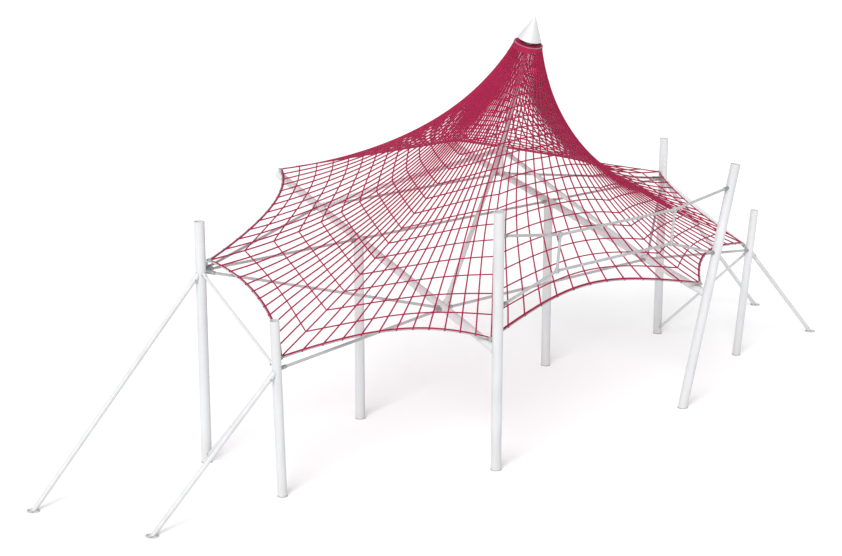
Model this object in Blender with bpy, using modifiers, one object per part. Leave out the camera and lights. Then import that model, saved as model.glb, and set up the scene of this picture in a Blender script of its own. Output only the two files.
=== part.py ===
"""Tensile fabric canopy with one leaning high point.

Four upright posts stand in one row.  Two sloping roof tubes cross the inner pair and run down
to two leaning front posts, and a flying mast stands over the roof tubes on four legs.  The
membrane hangs from the peak ring on the mast to eight corners, between inward-curved edge cables.
Metres, +Z up, +Y to the back, the plane x = 0 is the plane of symmetry.
"""
import math

import bmesh
import bpy
import numpy as np
from mathutils import Vector

# Plan of the posts.  Heights are above the ground, depths are from the row of four posts.
ROW_Y = 1.015
INNER_POST_X = 3.0
OUTER_POST_X = 7.225
CORNER_POST_Y = -2.61
FRONT_POST_Y = -4.40

# Post heights and the leans of the four posts that aren't upright.
OUTER_POST_TOP = 5.20
CORNER_POST_TOP = 3.736
CORNER_POST_LEAN = (0.239, -0.174)
FRONT_POST_TOP = 5.715
FRONT_POST_LEAN = (0.667, -0.692)

# The roof tubes cross the inner posts at the height of the middle tie.
TIE_Z = 4.16
ROOF_RISE = 0.3073
ROOF_SPLAY = -0.0669
ROOF_BACK_Y = 3.146
ROOF_FRONT_Y = -4.729
BACK_NODE_Y = 1.528
FRONT_NODE_Y = -3.004
SADDLE_DROP = 0.20
SADDLE_RISE = 0.017

# The flying mast leans forward over the middle of the roof tubes' nodes.
MAST_LEAN = math.radians(18.0)
MAST_FOOT = 2.17
PEAK = 4.71
CAP_BASE = 4.83
CAP_HEIGHT = 0.55
CAP_RADIUS = 0.262
PEAK_RADIUS = 0.303

# Heights where the other members meet the leaning posts.
CORNER_NODE_Z = 2.716
TRUSS_TOP_Z = 5.203
TRUSS_LOW_Z = 3.668
TRUSS_X = 1.79
TRUSS_STRUT_TOP = (-4.964, 4.937)
TRUSS_STRUT_LOW = (-4.892, 4.164)
DIAGONAL_FOOT_Z = 0.10

# Where the four guys reach the ground.
SIDE_GUY_X = 11.365
CORNER_GUY_X = 10.33
CORNER_GUY_Y = -2.615

# Tube and rod radii.
POST_R = 0.1095
CORNER_POST_R = 0.0968
ROOF_R = 0.0889
MAST_R = 0.0572
STRUT_R = 0.0508
SIDE_R = 0.033
TIE_R = 0.030
LINK_R = 0.020
EDGE_R = 0.014

# Sockets welded to the posts and tubes, which the members butt against.
SOCKET_EXTRA = 0.012
LONG_REACH = 0.30
REACH = 0.22
POST_SOCKET_REACH = 0.16
LINK_REACH = 0.185
ROOF_LINK_REACH = 0.105
GAP = 0.0003

# Round feet of the guys, and how far the posts and guys run below the ground before they are cut.
FOOT_R = 0.13
FOOT_T = 0.020
POST_BURY = 0.10
GUY_BURY = 0.30

# Mast hub, mast collar, peak ring with its spokes, and the inside of the hollow cap.
HUB_R = 0.10
HUB_HALF = 0.09
COLLAR_R = 0.085
COLLAR_T = 0.03
PEAK_PLATE_T = 0.016
PEAK_PLATE_LIFT = 0.0045
PEAK_RIM_OUT = 0.017
PEAK_RIM_IN = 0.040
SPOKE_HALF = 0.022
CAP_WALL = 0.010
CAP_HUB_R = 0.070
CAP_HUB_LOW = 0.10

# Clamps at the bends of the two rods between the leaning front posts.
CLAMP_HALF = 0.05
CLAMP_EXTRA = 0.018

# Links to the membrane's corners.  From a roof tube: to the front along it, then square up from
# it.  From a post: outwards, to the back and up.
BACK_LINK = (0.060, 0.160)
FRONT_LINK = (-0.262, 0.155)
SIDE_LINK = (-0.188, -0.035, 0.195)
LOW_LINK = (-0.162, 0.093, 0.189)

# Membrane, its net of radial and ring lines, and the round corner plates.
SEGMENTS = 12
RINGS = 20
RING_STEP = 2
MEMBRANE_T = 0.008
PLATE_R = 0.060
PLATE_T = 0.020
PLATE_CLEAR = 0.0004
EDGE_CLEAR = 0.0004

# Force densities of the net's lines, against 1 for a radial line at the edge.  Three values are
# at the edge, half way up and at the peak.  The line from a corner carries more than its
# neighbours, by a factor at each of these heights.  A swing is the part that follows twice the
# turn from the middle of the front, and the part that follows the turn itself.  A swell is the
# extra in the middle of a sector, at the edge and half way up.
EDGE_DENSITY = {"back": 365.0, "back_side": 20.2, "side": 16.2, "front_side": 33.9, "front": 70.4}
RADIAL_DENSITY = (1.0, 1.74, 2.18)
CORNER_DENSITY = {"back": (93.4, 12.5, 0.91), "side": (22.4, 2.77, 0.05),
                  "low": (40.3, 11.6, 0.19), "front": (26.7, 1.12, 0.058)}
RING_DENSITY = (16.2, 12.0, 40.8)
RADIAL_SWING = (1.88, 0.103)
RING_SWING = (0.084, -0.556)
RADIAL_SWELL = {"back": (0.0, 0.0), "back_side": (0.49, 1.09), "side": (-0.521, 0.348),
                "front_side": (0.781, 0.413), "front": (2.24, 0.224)}
RING_SWELL = {"back": (0.0, 0.0), "back_side": (-0.169, -0.345), "side": (0.127, 0.232),
              "front_side": (0.012, 0.29), "front": (0.141, -0.466)}
SECTOR_KINDS = ["back_side", "side", "front_side", "front", "front_side", "side", "back_side", "back"]
CORNER_KINDS = ["back", "side", "low", "front", "front", "low", "side", "back"]

POST_SIDES = 24
ROD_SIDES = 12
CAP_SIDES = 32
RIM_SIDES = 48
WINDOW_STEPS = 8
SMOOTH_ANGLE = math.radians(40.0)

SIDES = {"left": -1.0, "right": 1.0}


def clear_scene():
    for item in list(bpy.data.objects):
        bpy.data.objects.remove(item, do_unlink=True)


def collection(name):
    made = bpy.data.collections.new(name)
    bpy.context.scene.collection.children.link(made)
    return made


def material(name, colour, roughness, metallic):
    made = bpy.data.materials.new(name)
    made.use_nodes = True
    shader = made.node_tree.nodes["Principled BSDF"]
    shader.inputs["Base Color"].default_value = (*colour, 1.0)
    shader.inputs["Roughness"].default_value = roughness
    shader.inputs["Metallic"].default_value = metallic
    return made


def place(x, y, z):
    """A point from its distance to the symmetry plane, to the row of posts and to the ground."""
    return Vector((x, ROW_Y + y, z))


def mesh_object(name, mesh, look=None, group=None):
    made = bpy.data.objects.new(name, mesh)
    (group or PARTS).objects.link(made)
    if look:
        mesh.materials.append(look)
    return made


def rod_mesh(name, radius, length, sides):
    """A closed cylinder along local +Z, from 0 to length."""
    shape = bmesh.new()
    bmesh.ops.create_cone(shape, cap_ends=True, segments=sides, radius1=radius, radius2=radius, depth=length)
    bmesh.ops.translate(shape, verts=shape.verts, vec=(0.0, 0.0, length / 2.0))
    mesh = bpy.data.meshes.new(name)
    shape.to_mesh(mesh)
    shape.free()
    mesh.shade_smooth()
    mesh.set_sharp_from_angle(angle=SMOOTH_ANGLE)
    return mesh


def rod(name, start, end, radius, look, sides=ROD_SIDES, group=None):
    """A round rod or tube from start to end, placed by its location and rotation."""
    along = end - start
    made = mesh_object(name, rod_mesh(name, radius, along.length, sides), look, group)
    made.location = start
    made.rotation_mode = "QUATERNION"
    made.rotation_quaternion = along.to_track_quat("Z", "Y")
    return made


def combine(piece, other, operation):
    """Joins other to piece, or cuts it away, and hides other."""
    change = piece.modifiers.new(other.name, "BOOLEAN")
    change.operation = operation
    change.solver = "EXACT"
    change.object = other
    other.hide_render = True
    other.display_type = "WIRE"


def socket(piece, centre, target, radius, reach, sides=ROD_SIDES):
    """Welds a short round socket to piece, from centre towards target."""
    towards = (target - centre).normalized()
    name = f"socket_{piece.name}_{len(piece.modifiers)}"
    combine(piece, rod(name, centre, centre + towards * reach, radius, None, sides, CUTTERS), "UNION")


def member(name, start, end, radius, start_reach, end_reach, look):
    """A rod between two sockets, a small gap away from each of their faces."""
    towards = (end - start).normalized()
    first = start + towards * (start_reach + GAP)
    last = end - towards * (end_reach + GAP)
    return rod(name, first, last, radius, look)


def joined(owners, name, start, end, radius, start_reach, end_reach, look):
    """A member with a socket for it on the piece at each end."""
    first, last = owners
    socket(first, start, end, radius + SOCKET_EXTRA, start_reach)
    socket(last, end, start, radius + SOCKET_EXTRA, end_reach)
    return member(name, start, end, radius, start_reach, end_reach, look)


def roof_point(side, y):
    return place(side * (INNER_POST_X + ROOF_SPLAY * y), y, TIE_Z + ROOF_RISE * y)


def corner_post_point(side, z):
    part = z / CORNER_POST_TOP
    x = side * (OUTER_POST_X + CORNER_POST_LEAN[0] * part)
    return place(x, CORNER_POST_Y + CORNER_POST_LEAN[1] * part, z)


def front_post_point(side, z):
    part = z / FRONT_POST_TOP
    x = side * (INNER_POST_X + FRONT_POST_LEAN[0] * part)
    return place(x, FRONT_POST_Y + FRONT_POST_LEAN[1] * part, z)


def mast_point(distance):
    """A point on the mast's axis, measured up from the plane of the roof tubes."""
    middle_y = (BACK_NODE_Y + FRONT_NODE_Y) / 2.0
    foot = place(0.0, middle_y, TIE_Z + ROOF_RISE * middle_y)
    return foot + MAST_AXIS * distance


def corner_points():
    """The membrane's eight corners, round from the back left, with the point each is linked to."""
    corners = []
    for side in (-1.0, 1.0):
        along = (roof_point(side, 0.0) - roof_point(side, 1.0)).normalized()
        up = Vector((0.0, 0.0, 1.0))
        up = (up - along * up.dot(along)).normalized()
        back_anchor = roof_point(side, ROOF_BACK_Y) + along * BACK_LINK[0]
        front_anchor = roof_point(side, ROOF_FRONT_Y) + along * FRONT_LINK[0]
        outer = place(side * OUTER_POST_X, 0.0, TIE_Z)
        low = corner_post_point(side, CORNER_NODE_Z)
        run = [
            (back_anchor, back_anchor + up * BACK_LINK[1]),
            (outer, outer + Vector((side * SIDE_LINK[0], *SIDE_LINK[1:]))),
            (low, low + Vector((side * LOW_LINK[0], *LOW_LINK[1:]))),
            (front_anchor, front_anchor + up * FRONT_LINK[1]),
        ]
        corners += run if side < 0 else run[::-1]
    return corners


def graded(values, part):
    """A density between the edge, half way up and the peak, on a smooth curve of its logarithm."""
    edge, middle, peak = (math.log(value) for value in values)
    curve = edge * (1.0 - part) * (1.0 - 2.0 * part) + middle * 4.0 * part * (1.0 - part)
    return math.exp(curve + peak * part * (2.0 * part - 1.0))


def swing(pair, step, part):
    """How a density changes round the net, growing from the edge to the peak."""
    turn = 2.0 * math.pi * (step - 3.5 * SEGMENTS) / (8 * SEGMENTS)
    return math.exp(part * (pair[0] * math.cos(2.0 * turn) + pair[1] * math.cos(turn)))


def swell(pair, step, part):
    """How a density changes across a sector: by the first value at the edge, with the second half way up."""
    amount = (1.0 - part) * (pair[0] + 4.0 * part * pair[1])
    return math.exp(amount * math.sin(math.pi * step / SEGMENTS))


def form_net(corners):
    """Finds the membrane's shape: an equilibrium net with a force density on every line."""
    around = 8 * SEGMENTS
    centre = np.array(mast_point(PEAK))
    axis = np.array(MAST_AXIS)
    across = np.array((1.0, 0.0, 0.0))
    forward = np.cross(axis, across)
    angles = [math.atan2((np.array(c) - centre) @ forward, (np.array(c) - centre) @ across) for c in corners]
    angles = np.unwrap(np.array(angles + [angles[0]]))
    even = math.pi * (0.625 + 0.25 * np.arange(9))
    even += 2.0 * math.pi * round((angles[0] - even[0]) / (2.0 * math.pi))
    angles = (angles + even) / 2.0
    total = around * (RINGS + 1)
    stiffness = np.zeros((total, total))
    points = np.zeros((total, 3))
    held = np.zeros(total, dtype=bool)

    def link(a, b, density):
        stiffness[a, a] += density
        stiffness[b, b] += density
        stiffness[a, b] -= density
        stiffness[b, a] -= density

    for i in range(around):
        sector, step = divmod(i, SEGMENTS)
        following = (i + 1) % around
        kind = SECTOR_KINDS[sector]
        link(i, following, EDGE_DENSITY[kind])
        for j in range(RINGS):
            up = (j + 0.5) / RINGS
            radial = graded(RADIAL_DENSITY, up) * swing(RADIAL_SWING, i, up)
            radial *= swell(RADIAL_SWELL[kind], step, up)
            if step == 0:
                radial *= graded(CORNER_DENSITY[CORNER_KINDS[sector]], up)
            link(j * around + i, (j + 1) * around + i, radial)
            if j:
                ring = graded(RING_DENSITY, j / RINGS) * swing(RING_SWING, i + 0.5, j / RINGS)
                ring *= swell(RING_SWELL[kind], step + 0.5, j / RINGS)
                link(j * around + i, j * around + following, ring)
        angle = angles[sector] + (angles[sector + 1] - angles[sector]) * step / SEGMENTS
        rim = centre + PEAK_RADIUS * (math.cos(angle) * across + math.sin(angle) * forward)
        points[RINGS * around + i] = rim
        held[RINGS * around + i] = True
        if step == 0:
            points[i] = corners[sector]
            held[i] = True
    free = ~held
    load = -stiffness[np.ix_(free, held)] @ points[held]
    points[free] = np.linalg.solve(stiffness[np.ix_(free, free)], load)
    return points.reshape(RINGS + 1, around, 3)


def corner_frame(net, index):
    """The middle of a corner plate and the direction square to it."""
    around = net.shape[1]
    corner = Vector(net[0, index])
    one = Vector(net[0, (index + 1) % around]) - corner
    other = Vector(net[0, index - 1]) - corner
    normal = other.cross(one).normalized()
    if normal.z < 0.0:
        normal.negate()
    return corner, normal


def membrane(net, look):
    """The fabric: a surface on every second ring of the net, thickened to a closed solid."""
    around = net.shape[1]
    shape = bmesh.new()
    rows = [[shape.verts.new(net[j, i]) for i in range(around)] for j in range(0, RINGS + 1, RING_STEP)]
    for low, high in zip(rows, rows[1:]):
        for i in range(around):
            following = (i + 1) % around
            shape.faces.new((low[i], low[following], high[following], high[i]))
    bmesh.ops.recalc_face_normals(shape, faces=shape.faces)
    mesh = bpy.data.meshes.new("membrane")
    shape.to_mesh(mesh)
    shape.free()
    mesh.shade_smooth()
    made = mesh_object("membrane", mesh, look)
    wall = made.modifiers.new("thickness", "SOLIDIFY")
    wall.thickness = MEMBRANE_T
    wall.offset = 0.0
    wall.use_even_offset = True
    for index in range(0, around, SEGMENTS):
        corner, normal = corner_frame(net, index)
        half = normal * PLATE_R
        cutter = rod(f"corner_cutter_{index}", corner - half, corner + half, PLATE_R + GAP, None,
                     sides=POST_SIDES, group=CUTTERS)
        combine(made, cutter, "DIFFERENCE")
    return made


def edge_cable(name, net, first, look):
    """A cable beside one edge of the membrane, between two corner plates."""
    around = net.shape[1]
    offset = EDGE_R + EDGE_CLEAR
    path = []
    for step in range(SEGMENTS + 1):
        i = (first + step) % around
        here = Vector(net[0, i])
        inward = Vector(net[1, i]) - here
        if step == 0:
            tangent = Vector(net[0, (i + 1) % around]) - here
            inward = Vector(net[1, (i + 1) % around]) - Vector(net[0, (i + 1) % around])
        elif step == SEGMENTS:
            tangent = here - Vector(net[0, i - 1])
            inward = Vector(net[1, i - 1]) - Vector(net[0, i - 1])
        else:
            tangent = (Vector(net[0, (i + 1) % around]) - Vector(net[0, i - 1]))
        tangent.normalize()
        outward = -(inward - tangent * inward.dot(tangent)).normalized()
        path.append(here + outward * offset)
    path[0] = trimmed(Vector(net[0, first]), path[0], path[1])
    path[-1] = trimmed(Vector(net[0, (first + SEGMENTS) % around]), path[-1], path[-2])
    curve = bpy.data.curves.new(name, "CURVE")
    curve.dimensions = "3D"
    curve.bevel_depth = EDGE_R
    curve.bevel_resolution = 2
    curve.use_fill_caps = True
    spline = curve.splines.new("POLY")
    spline.points.add(len(path) - 1)
    for point, where in zip(spline.points, path):
        point.co = (*where, 1.0)
    curve.materials.append(look)
    made = bpy.data.objects.new(name, curve)
    PARTS.objects.link(made)
    return made


def trimmed(corner, end, following):
    """The point between end and following where a square cut clears the corner plate."""
    along = (following - end).normalized()
    return end + along * (PLATE_R + PLATE_CLEAR - (end - corner).dot(along))


def corner_plate(name, net, index, anchor, reach, look):
    """A round clamp plate in the membrane's corner, with its link to the post or roof tube."""
    corner, normal = corner_frame(net, index)
    half = normal * (PLATE_T / 2.0)
    plate = rod(name, corner - half, corner + half, PLATE_R, look, sides=POST_SIDES)
    towards = (corner - anchor).normalized()
    link = rod(f"link_{name}", anchor + towards * (reach + GAP), corner, LINK_R, None, group=CUTTERS)
    combine(plate, link, "UNION")
    return plate


def peak_ring(look):
    """A flat ring with four spokes and a hub, square to the mast, over the membrane's top."""
    curve = bpy.data.curves.new("peak_ring", "CURVE")
    curve.dimensions = "2D"
    curve.fill_mode = "BOTH"
    curve.extrude = PEAK_PLATE_T / 2.0

    def loop(points):
        spline = curve.splines.new("POLY")
        spline.points.add(len(points) - 1)
        spline.use_cyclic_u = True
        for point, (x, y) in zip(spline.points, points):
            point.co = (x, y, 0.0, 1.0)

    def circle(radius, count):
        turn = 2.0 * math.pi / count
        return [(radius * math.cos(k * turn), radius * math.sin(k * turn)) for k in range(count)]

    loop(circle(PEAK_RADIUS + PEAK_RIM_OUT, RIM_SIDES))
    loop(circle(MAST_R + GAP, ROD_SIDES * 2))
    for quarter in range(4):
        start = quarter * math.pi / 2.0
        window = []
        outwards = range(WINDOW_STEPS + 1)
        for radius, order in ((PEAK_RADIUS - PEAK_RIM_IN, outwards), (COLLAR_R, reversed(outwards))):
            edge = math.asin(SPOKE_HALF / radius)
            for k in order:
                angle = start + edge + (math.pi / 2.0 - 2.0 * edge) * k / WINDOW_STEPS
                window.append((radius * math.cos(angle), radius * math.sin(angle)))
        loop(window)
    curve.materials.append(look)
    made = bpy.data.objects.new("peak_ring", curve)
    PARTS.objects.link(made)
    made.location = mast_point(PEAK + PEAK_PLATE_LIFT + PEAK_PLATE_T / 2.0)
    made.rotation_mode = "QUATERNION"
    made.rotation_quaternion = MAST_AXIS.to_track_quat("Z", "Y")
    return made


def mast_cap(look):
    """A hollow cone on the mast's head, turned from its profile."""
    inner_r = CAP_RADIUS - CAP_WALL
    inner_top = CAP_HEIGHT * inner_r / CAP_RADIUS
    hub_high = inner_top * (1.0 - CAP_HUB_R / inner_r)
    profile = [(0.0, CAP_HEIGHT), (CAP_RADIUS, 0.0), (inner_r, 0.0), (CAP_HUB_R, hub_high),
               (CAP_HUB_R, CAP_HUB_LOW), (0.0, CAP_HUB_LOW)]
    shape = bmesh.new()
    points = [shape.verts.new((x, 0.0, z)) for x, z in profile]
    for first, second in zip(points, points[1:]):
        shape.edges.new((first, second))
    mesh = bpy.data.meshes.new("mast_cap")
    shape.to_mesh(mesh)
    shape.free()
    made = mesh_object("mast_cap", mesh, look)
    turn = made.modifiers.new("turn", "SCREW")
    turn.steps = CAP_SIDES
    turn.render_steps = CAP_SIDES
    turn.use_merge_vertices = True
    turn.merge_threshold = 0.0001
    made.location = mast_point(CAP_BASE)
    made.rotation_mode = "QUATERNION"
    made.rotation_quaternion = MAST_AXIS.to_track_quat("Z", "Y")
    return made


def ground_cutter():
    shape = bmesh.new()
    bmesh.ops.create_cube(shape, size=1.0)
    mesh = bpy.data.meshes.new("ground_cutter")
    shape.to_mesh(mesh)
    shape.free()
    made = mesh_object("ground_cutter", mesh, group=CUTTERS)
    made.scale = (3.0 * SIDE_GUY_X, 3.0 * SIDE_GUY_X, 1.0)
    made.location = (0.0, 0.0, -0.5)
    return made


def truss_cable(name, left, right, bend_left, bend_right, look):
    """A rod bent at two clamps, between the sockets on the two leaning front posts."""
    towards = (bend_left - left).normalized()
    back = (bend_right - right).normalized()
    first = rod(name, left + towards * (REACH + GAP), bend_left, TIE_R, look)
    middle = rod(f"{name}_middle", bend_left, bend_right, TIE_R, None, group=CUTTERS)
    last = rod(f"{name}_last", bend_right, right + back * (REACH + GAP), TIE_R, None, group=CUTTERS)
    combine(first, middle, "UNION")
    combine(first, last, "UNION")
    return first


def guy(name, owner, top, ground, look):
    """A tubular guy from a post's socket down to its round foot plate."""
    towards = (ground - top).normalized()
    socket(owner, top, ground, STRUT_R + SOCKET_EXTRA, LONG_REACH)
    made = rod(name, top + towards * (LONG_REACH + GAP), ground + towards * GUY_BURY, STRUT_R, look)
    foot = rod(f"foot_{name}", ground, ground + Vector((0.0, 0.0, FOOT_T)), FOOT_R, None,
               sides=POST_SIDES, group=CUTTERS)
    combine(made, GROUND, "DIFFERENCE")
    combine(made, foot, "UNION")
    return made


clear_scene()
PARTS = collection("tensile_canopy")
CUTTERS = collection("cutters")
MAST_AXIS = Vector((0.0, -math.sin(MAST_LEAN), math.cos(MAST_LEAN)))
GROUND = ground_cutter()

steel = material("painted_steel", (0.62, 0.63, 0.64), 0.42, 0.0)
tie_steel = material("tie_steel", (0.50, 0.51, 0.52), 0.35, 0.6)
cable_steel = material("cable_steel", (0.45, 0.46, 0.47), 0.38, 0.8)
fitting_steel = material("fitting_steel", (0.55, 0.56, 0.57), 0.35, 0.7)
cap_metal = material("cap_metal", (0.82, 0.83, 0.84), 0.38, 0.0)
fabric = material("fabric", (0.45, 0.03, 0.09), 0.75, 0.0)

posts = {}
roof = {}
for label, side in SIDES.items():
    foot = place(side * OUTER_POST_X, 0.0, 0.0)
    posts["outer", side] = rod(f"outer_post_{label}", foot, foot + Vector((0.0, 0.0, OUTER_POST_TOP)),
                               POST_R, steel, POST_SIDES)
    foot = place(side * INNER_POST_X, 0.0, 0.0)
    top = Vector((0.0, 0.0, TIE_Z - SADDLE_DROP - GAP))
    posts["inner", side] = rod(f"inner_post_{label}", foot, foot + top, POST_R, steel, POST_SIDES)
    low = corner_post_point(side, -POST_BURY)
    posts["corner", side] = rod(f"corner_post_{label}", low, corner_post_point(side, CORNER_POST_TOP),
                                CORNER_POST_R, steel, POST_SIDES)
    low = front_post_point(side, -POST_BURY)
    posts["front", side] = rod(f"front_post_{label}", low, front_post_point(side, FRONT_POST_TOP),
                               POST_R, steel, POST_SIDES)
    joint = roof_point(side, ROOF_FRONT_Y)
    back_end = roof_point(side, ROOF_BACK_Y)
    towards = (back_end - joint).normalized()
    socket(posts["front", side], joint, back_end, ROOF_R + SOCKET_EXTRA, POST_SOCKET_REACH)
    roof[side] = rod(f"roof_tube_{label}", joint + towards * (POST_SOCKET_REACH + GAP), back_end, ROOF_R,
                     steel, POST_SIDES)
    crossing = roof_point(side, 0.0)
    above = crossing + Vector((0.0, 0.0, SADDLE_RISE))
    socket(roof[side], above, crossing, POST_R, SADDLE_RISE + SADDLE_DROP, POST_SIDES)

mast_cap(cap_metal)
mast = rod("mast", mast_point(MAST_FOOT), mast_point(CAP_BASE + CAP_HUB_LOW - GAP), MAST_R, steel, POST_SIDES)
hub = rod("mast_hub", mast_point(MAST_FOOT - HUB_HALF), mast_point(MAST_FOOT + HUB_HALF), HUB_R, None,
          POST_SIDES, CUTTERS)
combine(mast, hub, "UNION")
collar_top = PEAK + PEAK_PLATE_LIFT - GAP
collar = rod("mast_collar", mast_point(collar_top - COLLAR_T), mast_point(collar_top), COLLAR_R, None,
             POST_SIDES, CUTTERS)
combine(mast, collar, "UNION")
peak_ring(fitting_steel)

truss_top = {}
truss_low = {}
for label, side in SIDES.items():
    outer = place(side * OUTER_POST_X, 0.0, TIE_Z)
    corner = corner_post_point(side, CORNER_NODE_Z)
    crossing = roof_point(side, 0.0)
    back_node = roof_point(side, BACK_NODE_Y)
    front_node = roof_point(side, FRONT_NODE_Y)
    tube = roof[side]
    outer_post = posts["outer", side]
    corner_post = posts["corner", side]
    mast_foot = mast_point(MAST_FOOT)
    joined((mast, tube), f"mast_leg_back_{label}", mast_foot, back_node, STRUT_R, LONG_REACH, REACH, steel)
    joined((mast, tube), f"mast_leg_front_{label}", mast_foot, front_node, STRUT_R, LONG_REACH, REACH, steel)
    joined((outer_post, tube), f"middle_tie_{label}", outer, crossing, TIE_R, LONG_REACH, REACH, tie_steel)
    joined((outer_post, tube), f"back_brace_{label}", outer, back_node, TIE_R, LONG_REACH, REACH, tie_steel)
    joined((outer_post, tube), f"front_brace_{label}", outer, front_node, TIE_R, LONG_REACH, REACH, tie_steel)
    joined((corner_post, tube), f"front_tie_{label}", corner, front_node, TIE_R, REACH, REACH, tie_steel)
    joined((outer_post, corner_post), f"side_strut_{label}", outer, corner, SIDE_R, REACH, REACH, steel)
    base = place(side * OUTER_POST_X, 0.0, DIAGONAL_FOOT_Z)
    joined((outer_post, corner_post), f"side_diagonal_{label}", base, corner, SIDE_R, REACH, REACH, steel)
    guy(f"side_guy_{label}", outer_post, outer, place(side * SIDE_GUY_X, 0.0, 0.0), steel)
    guy(f"corner_guy_{label}", corner_post, corner, place(side * CORNER_GUY_X, CORNER_GUY_Y, 0.0), steel)
    bends = ((truss_top, TRUSS_TOP_Z, TRUSS_STRUT_TOP), (truss_low, TRUSS_LOW_Z, TRUSS_STRUT_LOW))
    for table, height, bend in bends:
        on_post = front_post_point(side, height)
        table[side] = (on_post, place(side * TRUSS_X, *bend))
        socket(posts["front", side], on_post, table[side][1], TIE_R + SOCKET_EXTRA, REACH)
    combine(corner_post, GROUND, "DIFFERENCE")
    combine(posts["front", side], GROUND, "DIFFERENCE")

for name, y in (("middle_tie", 0.0), ("back_tie", BACK_NODE_Y), ("front_tie", FRONT_NODE_Y)):
    left, right = roof_point(-1.0, y), roof_point(1.0, y)
    joined((roof[-1.0], roof[1.0]), name, left, right, TIE_R, REACH, REACH, tie_steel)

cables = {}
for name, table in (("truss_cable_top", truss_top), ("truss_cable_low", truss_low)):
    (left, left_bend), (right, right_bend) = table[-1.0], table[1.0]
    cables[name] = truss_cable(name, left, right, left_bend, right_bend, cable_steel)
for label, side in SIDES.items():
    top, low = truss_top[side][1], truss_low[side][1]
    for name, here, there in (("truss_cable_top", top, low), ("truss_cable_low", low, top)):
        away = (here - there).normalized()
        clamp = rod(f"clamp_{name}_{label}", here + away * CLAMP_HALF, here - away * CLAMP_HALF,
                    TIE_R + CLAMP_EXTRA, None, group=CUTTERS)
        combine(cables[name], clamp, "UNION")
    member(f"truss_strut_{label}", top, low, TIE_R, CLAMP_HALF, CLAMP_HALF, steel)

corners = corner_points()
net = form_net([corner for anchor, corner in corners])
membrane(net, fabric)
corner_names = ["back_left", "side_left", "low_left", "front_left",
                "front_right", "low_right", "side_right", "back_right"]
corner_owners = [roof[-1.0], posts["outer", -1.0], posts["corner", -1.0], roof[-1.0],
                 roof[1.0], posts["corner", 1.0], posts["outer", 1.0], roof[1.0]]
edge_names = ["back_side_left", "side_left", "front_side_left", "front",
              "front_side_right", "side_right", "back_side_right", "back"]
for index, (anchor, corner) in enumerate(corners):
    owner = corner_owners[index]
    reach = ROOF_LINK_REACH if owner in roof.values() else LINK_REACH
    socket(owner, anchor, corner, LINK_R + SOCKET_EXTRA, reach)
    corner_plate(f"corner_plate_{corner_names[index]}", net, index * SEGMENTS, anchor, reach, fitting_steel)
    edge_cable(f"edge_cable_{edge_names[index]}", net, index * SEGMENTS, cable_steel)
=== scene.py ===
"""Looks of a tensile fabric canopy: one sheer membrane with crimson cords on a grey steel frame.

Metres, +Z up, +Y to the back.  The row of four upright posts stands at y = ROW_Y, and the plane
x = 0 is the plane of symmetry.
"""
import math

import bmesh
import bpy
import numpy as np
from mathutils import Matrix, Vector


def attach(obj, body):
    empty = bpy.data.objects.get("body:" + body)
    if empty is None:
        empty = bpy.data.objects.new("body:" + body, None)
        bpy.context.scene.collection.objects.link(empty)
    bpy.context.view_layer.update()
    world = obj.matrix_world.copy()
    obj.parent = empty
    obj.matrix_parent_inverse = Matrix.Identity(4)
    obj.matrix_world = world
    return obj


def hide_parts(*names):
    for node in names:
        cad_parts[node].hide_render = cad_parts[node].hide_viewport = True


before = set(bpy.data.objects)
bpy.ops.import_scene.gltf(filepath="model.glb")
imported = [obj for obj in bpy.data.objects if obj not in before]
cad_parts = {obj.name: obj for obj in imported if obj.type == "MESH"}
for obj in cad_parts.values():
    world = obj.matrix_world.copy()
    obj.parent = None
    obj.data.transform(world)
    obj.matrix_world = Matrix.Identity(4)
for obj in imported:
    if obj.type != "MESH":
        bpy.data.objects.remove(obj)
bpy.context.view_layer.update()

# Picture: the camera stands high to the front left, and a plain pale floor runs past the view on
# every side.  One wide soft sun from the camera's side and an even sky light the canopy.
CAMERA_SPOT = (-27.37, -28.205, 13.17)
CAMERA_DOWN = 14.59
CAMERA_TURN = -41.9
CAMERA_LENS = 75.7
FLOOR_HALF = 400.0
FLOOR_COLOUR = (0.95, 0.95, 0.955, 1.0)
FLOOR_ROUGHNESS = 0.95
FLOOR_GLOW = 0.06
SKY_STRENGTH = 0.70
SUN_STRENGTH = 2.45
SUN_SPREAD = 30.0
SUN_TURN = (54.0, 0.0, -60.0)

scene = bpy.context.scene
scene.view_settings.view_transform = "Standard"


def linked(name, data):
    """A new object in the scene."""
    made = bpy.data.objects.new(name, data)
    scene.collection.objects.link(made)
    return made


lens = bpy.data.cameras.new("camera")
lens.lens = CAMERA_LENS
lens.clip_end = 4.0 * FLOOR_HALF
camera = linked("camera", lens)
camera.location = CAMERA_SPOT
camera.rotation_euler = (math.radians(90.0 - CAMERA_DOWN), 0.0, math.radians(CAMERA_TURN))
scene.camera = camera

sky = bpy.data.worlds.new("even_sky")
sky.use_nodes = True
sky.node_tree.nodes["Background"].inputs["Color"].default_value = (1.0, 1.0, 1.0, 1.0)
sky.node_tree.nodes["Background"].inputs["Strength"].default_value = SKY_STRENGTH
scene.world = sky

sun_light = bpy.data.lights.new("sun", "SUN")
sun_light.energy = SUN_STRENGTH
sun_light.angle = math.radians(SUN_SPREAD)
linked("sun", sun_light).rotation_euler = [math.radians(angle) for angle in SUN_TURN]

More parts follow.
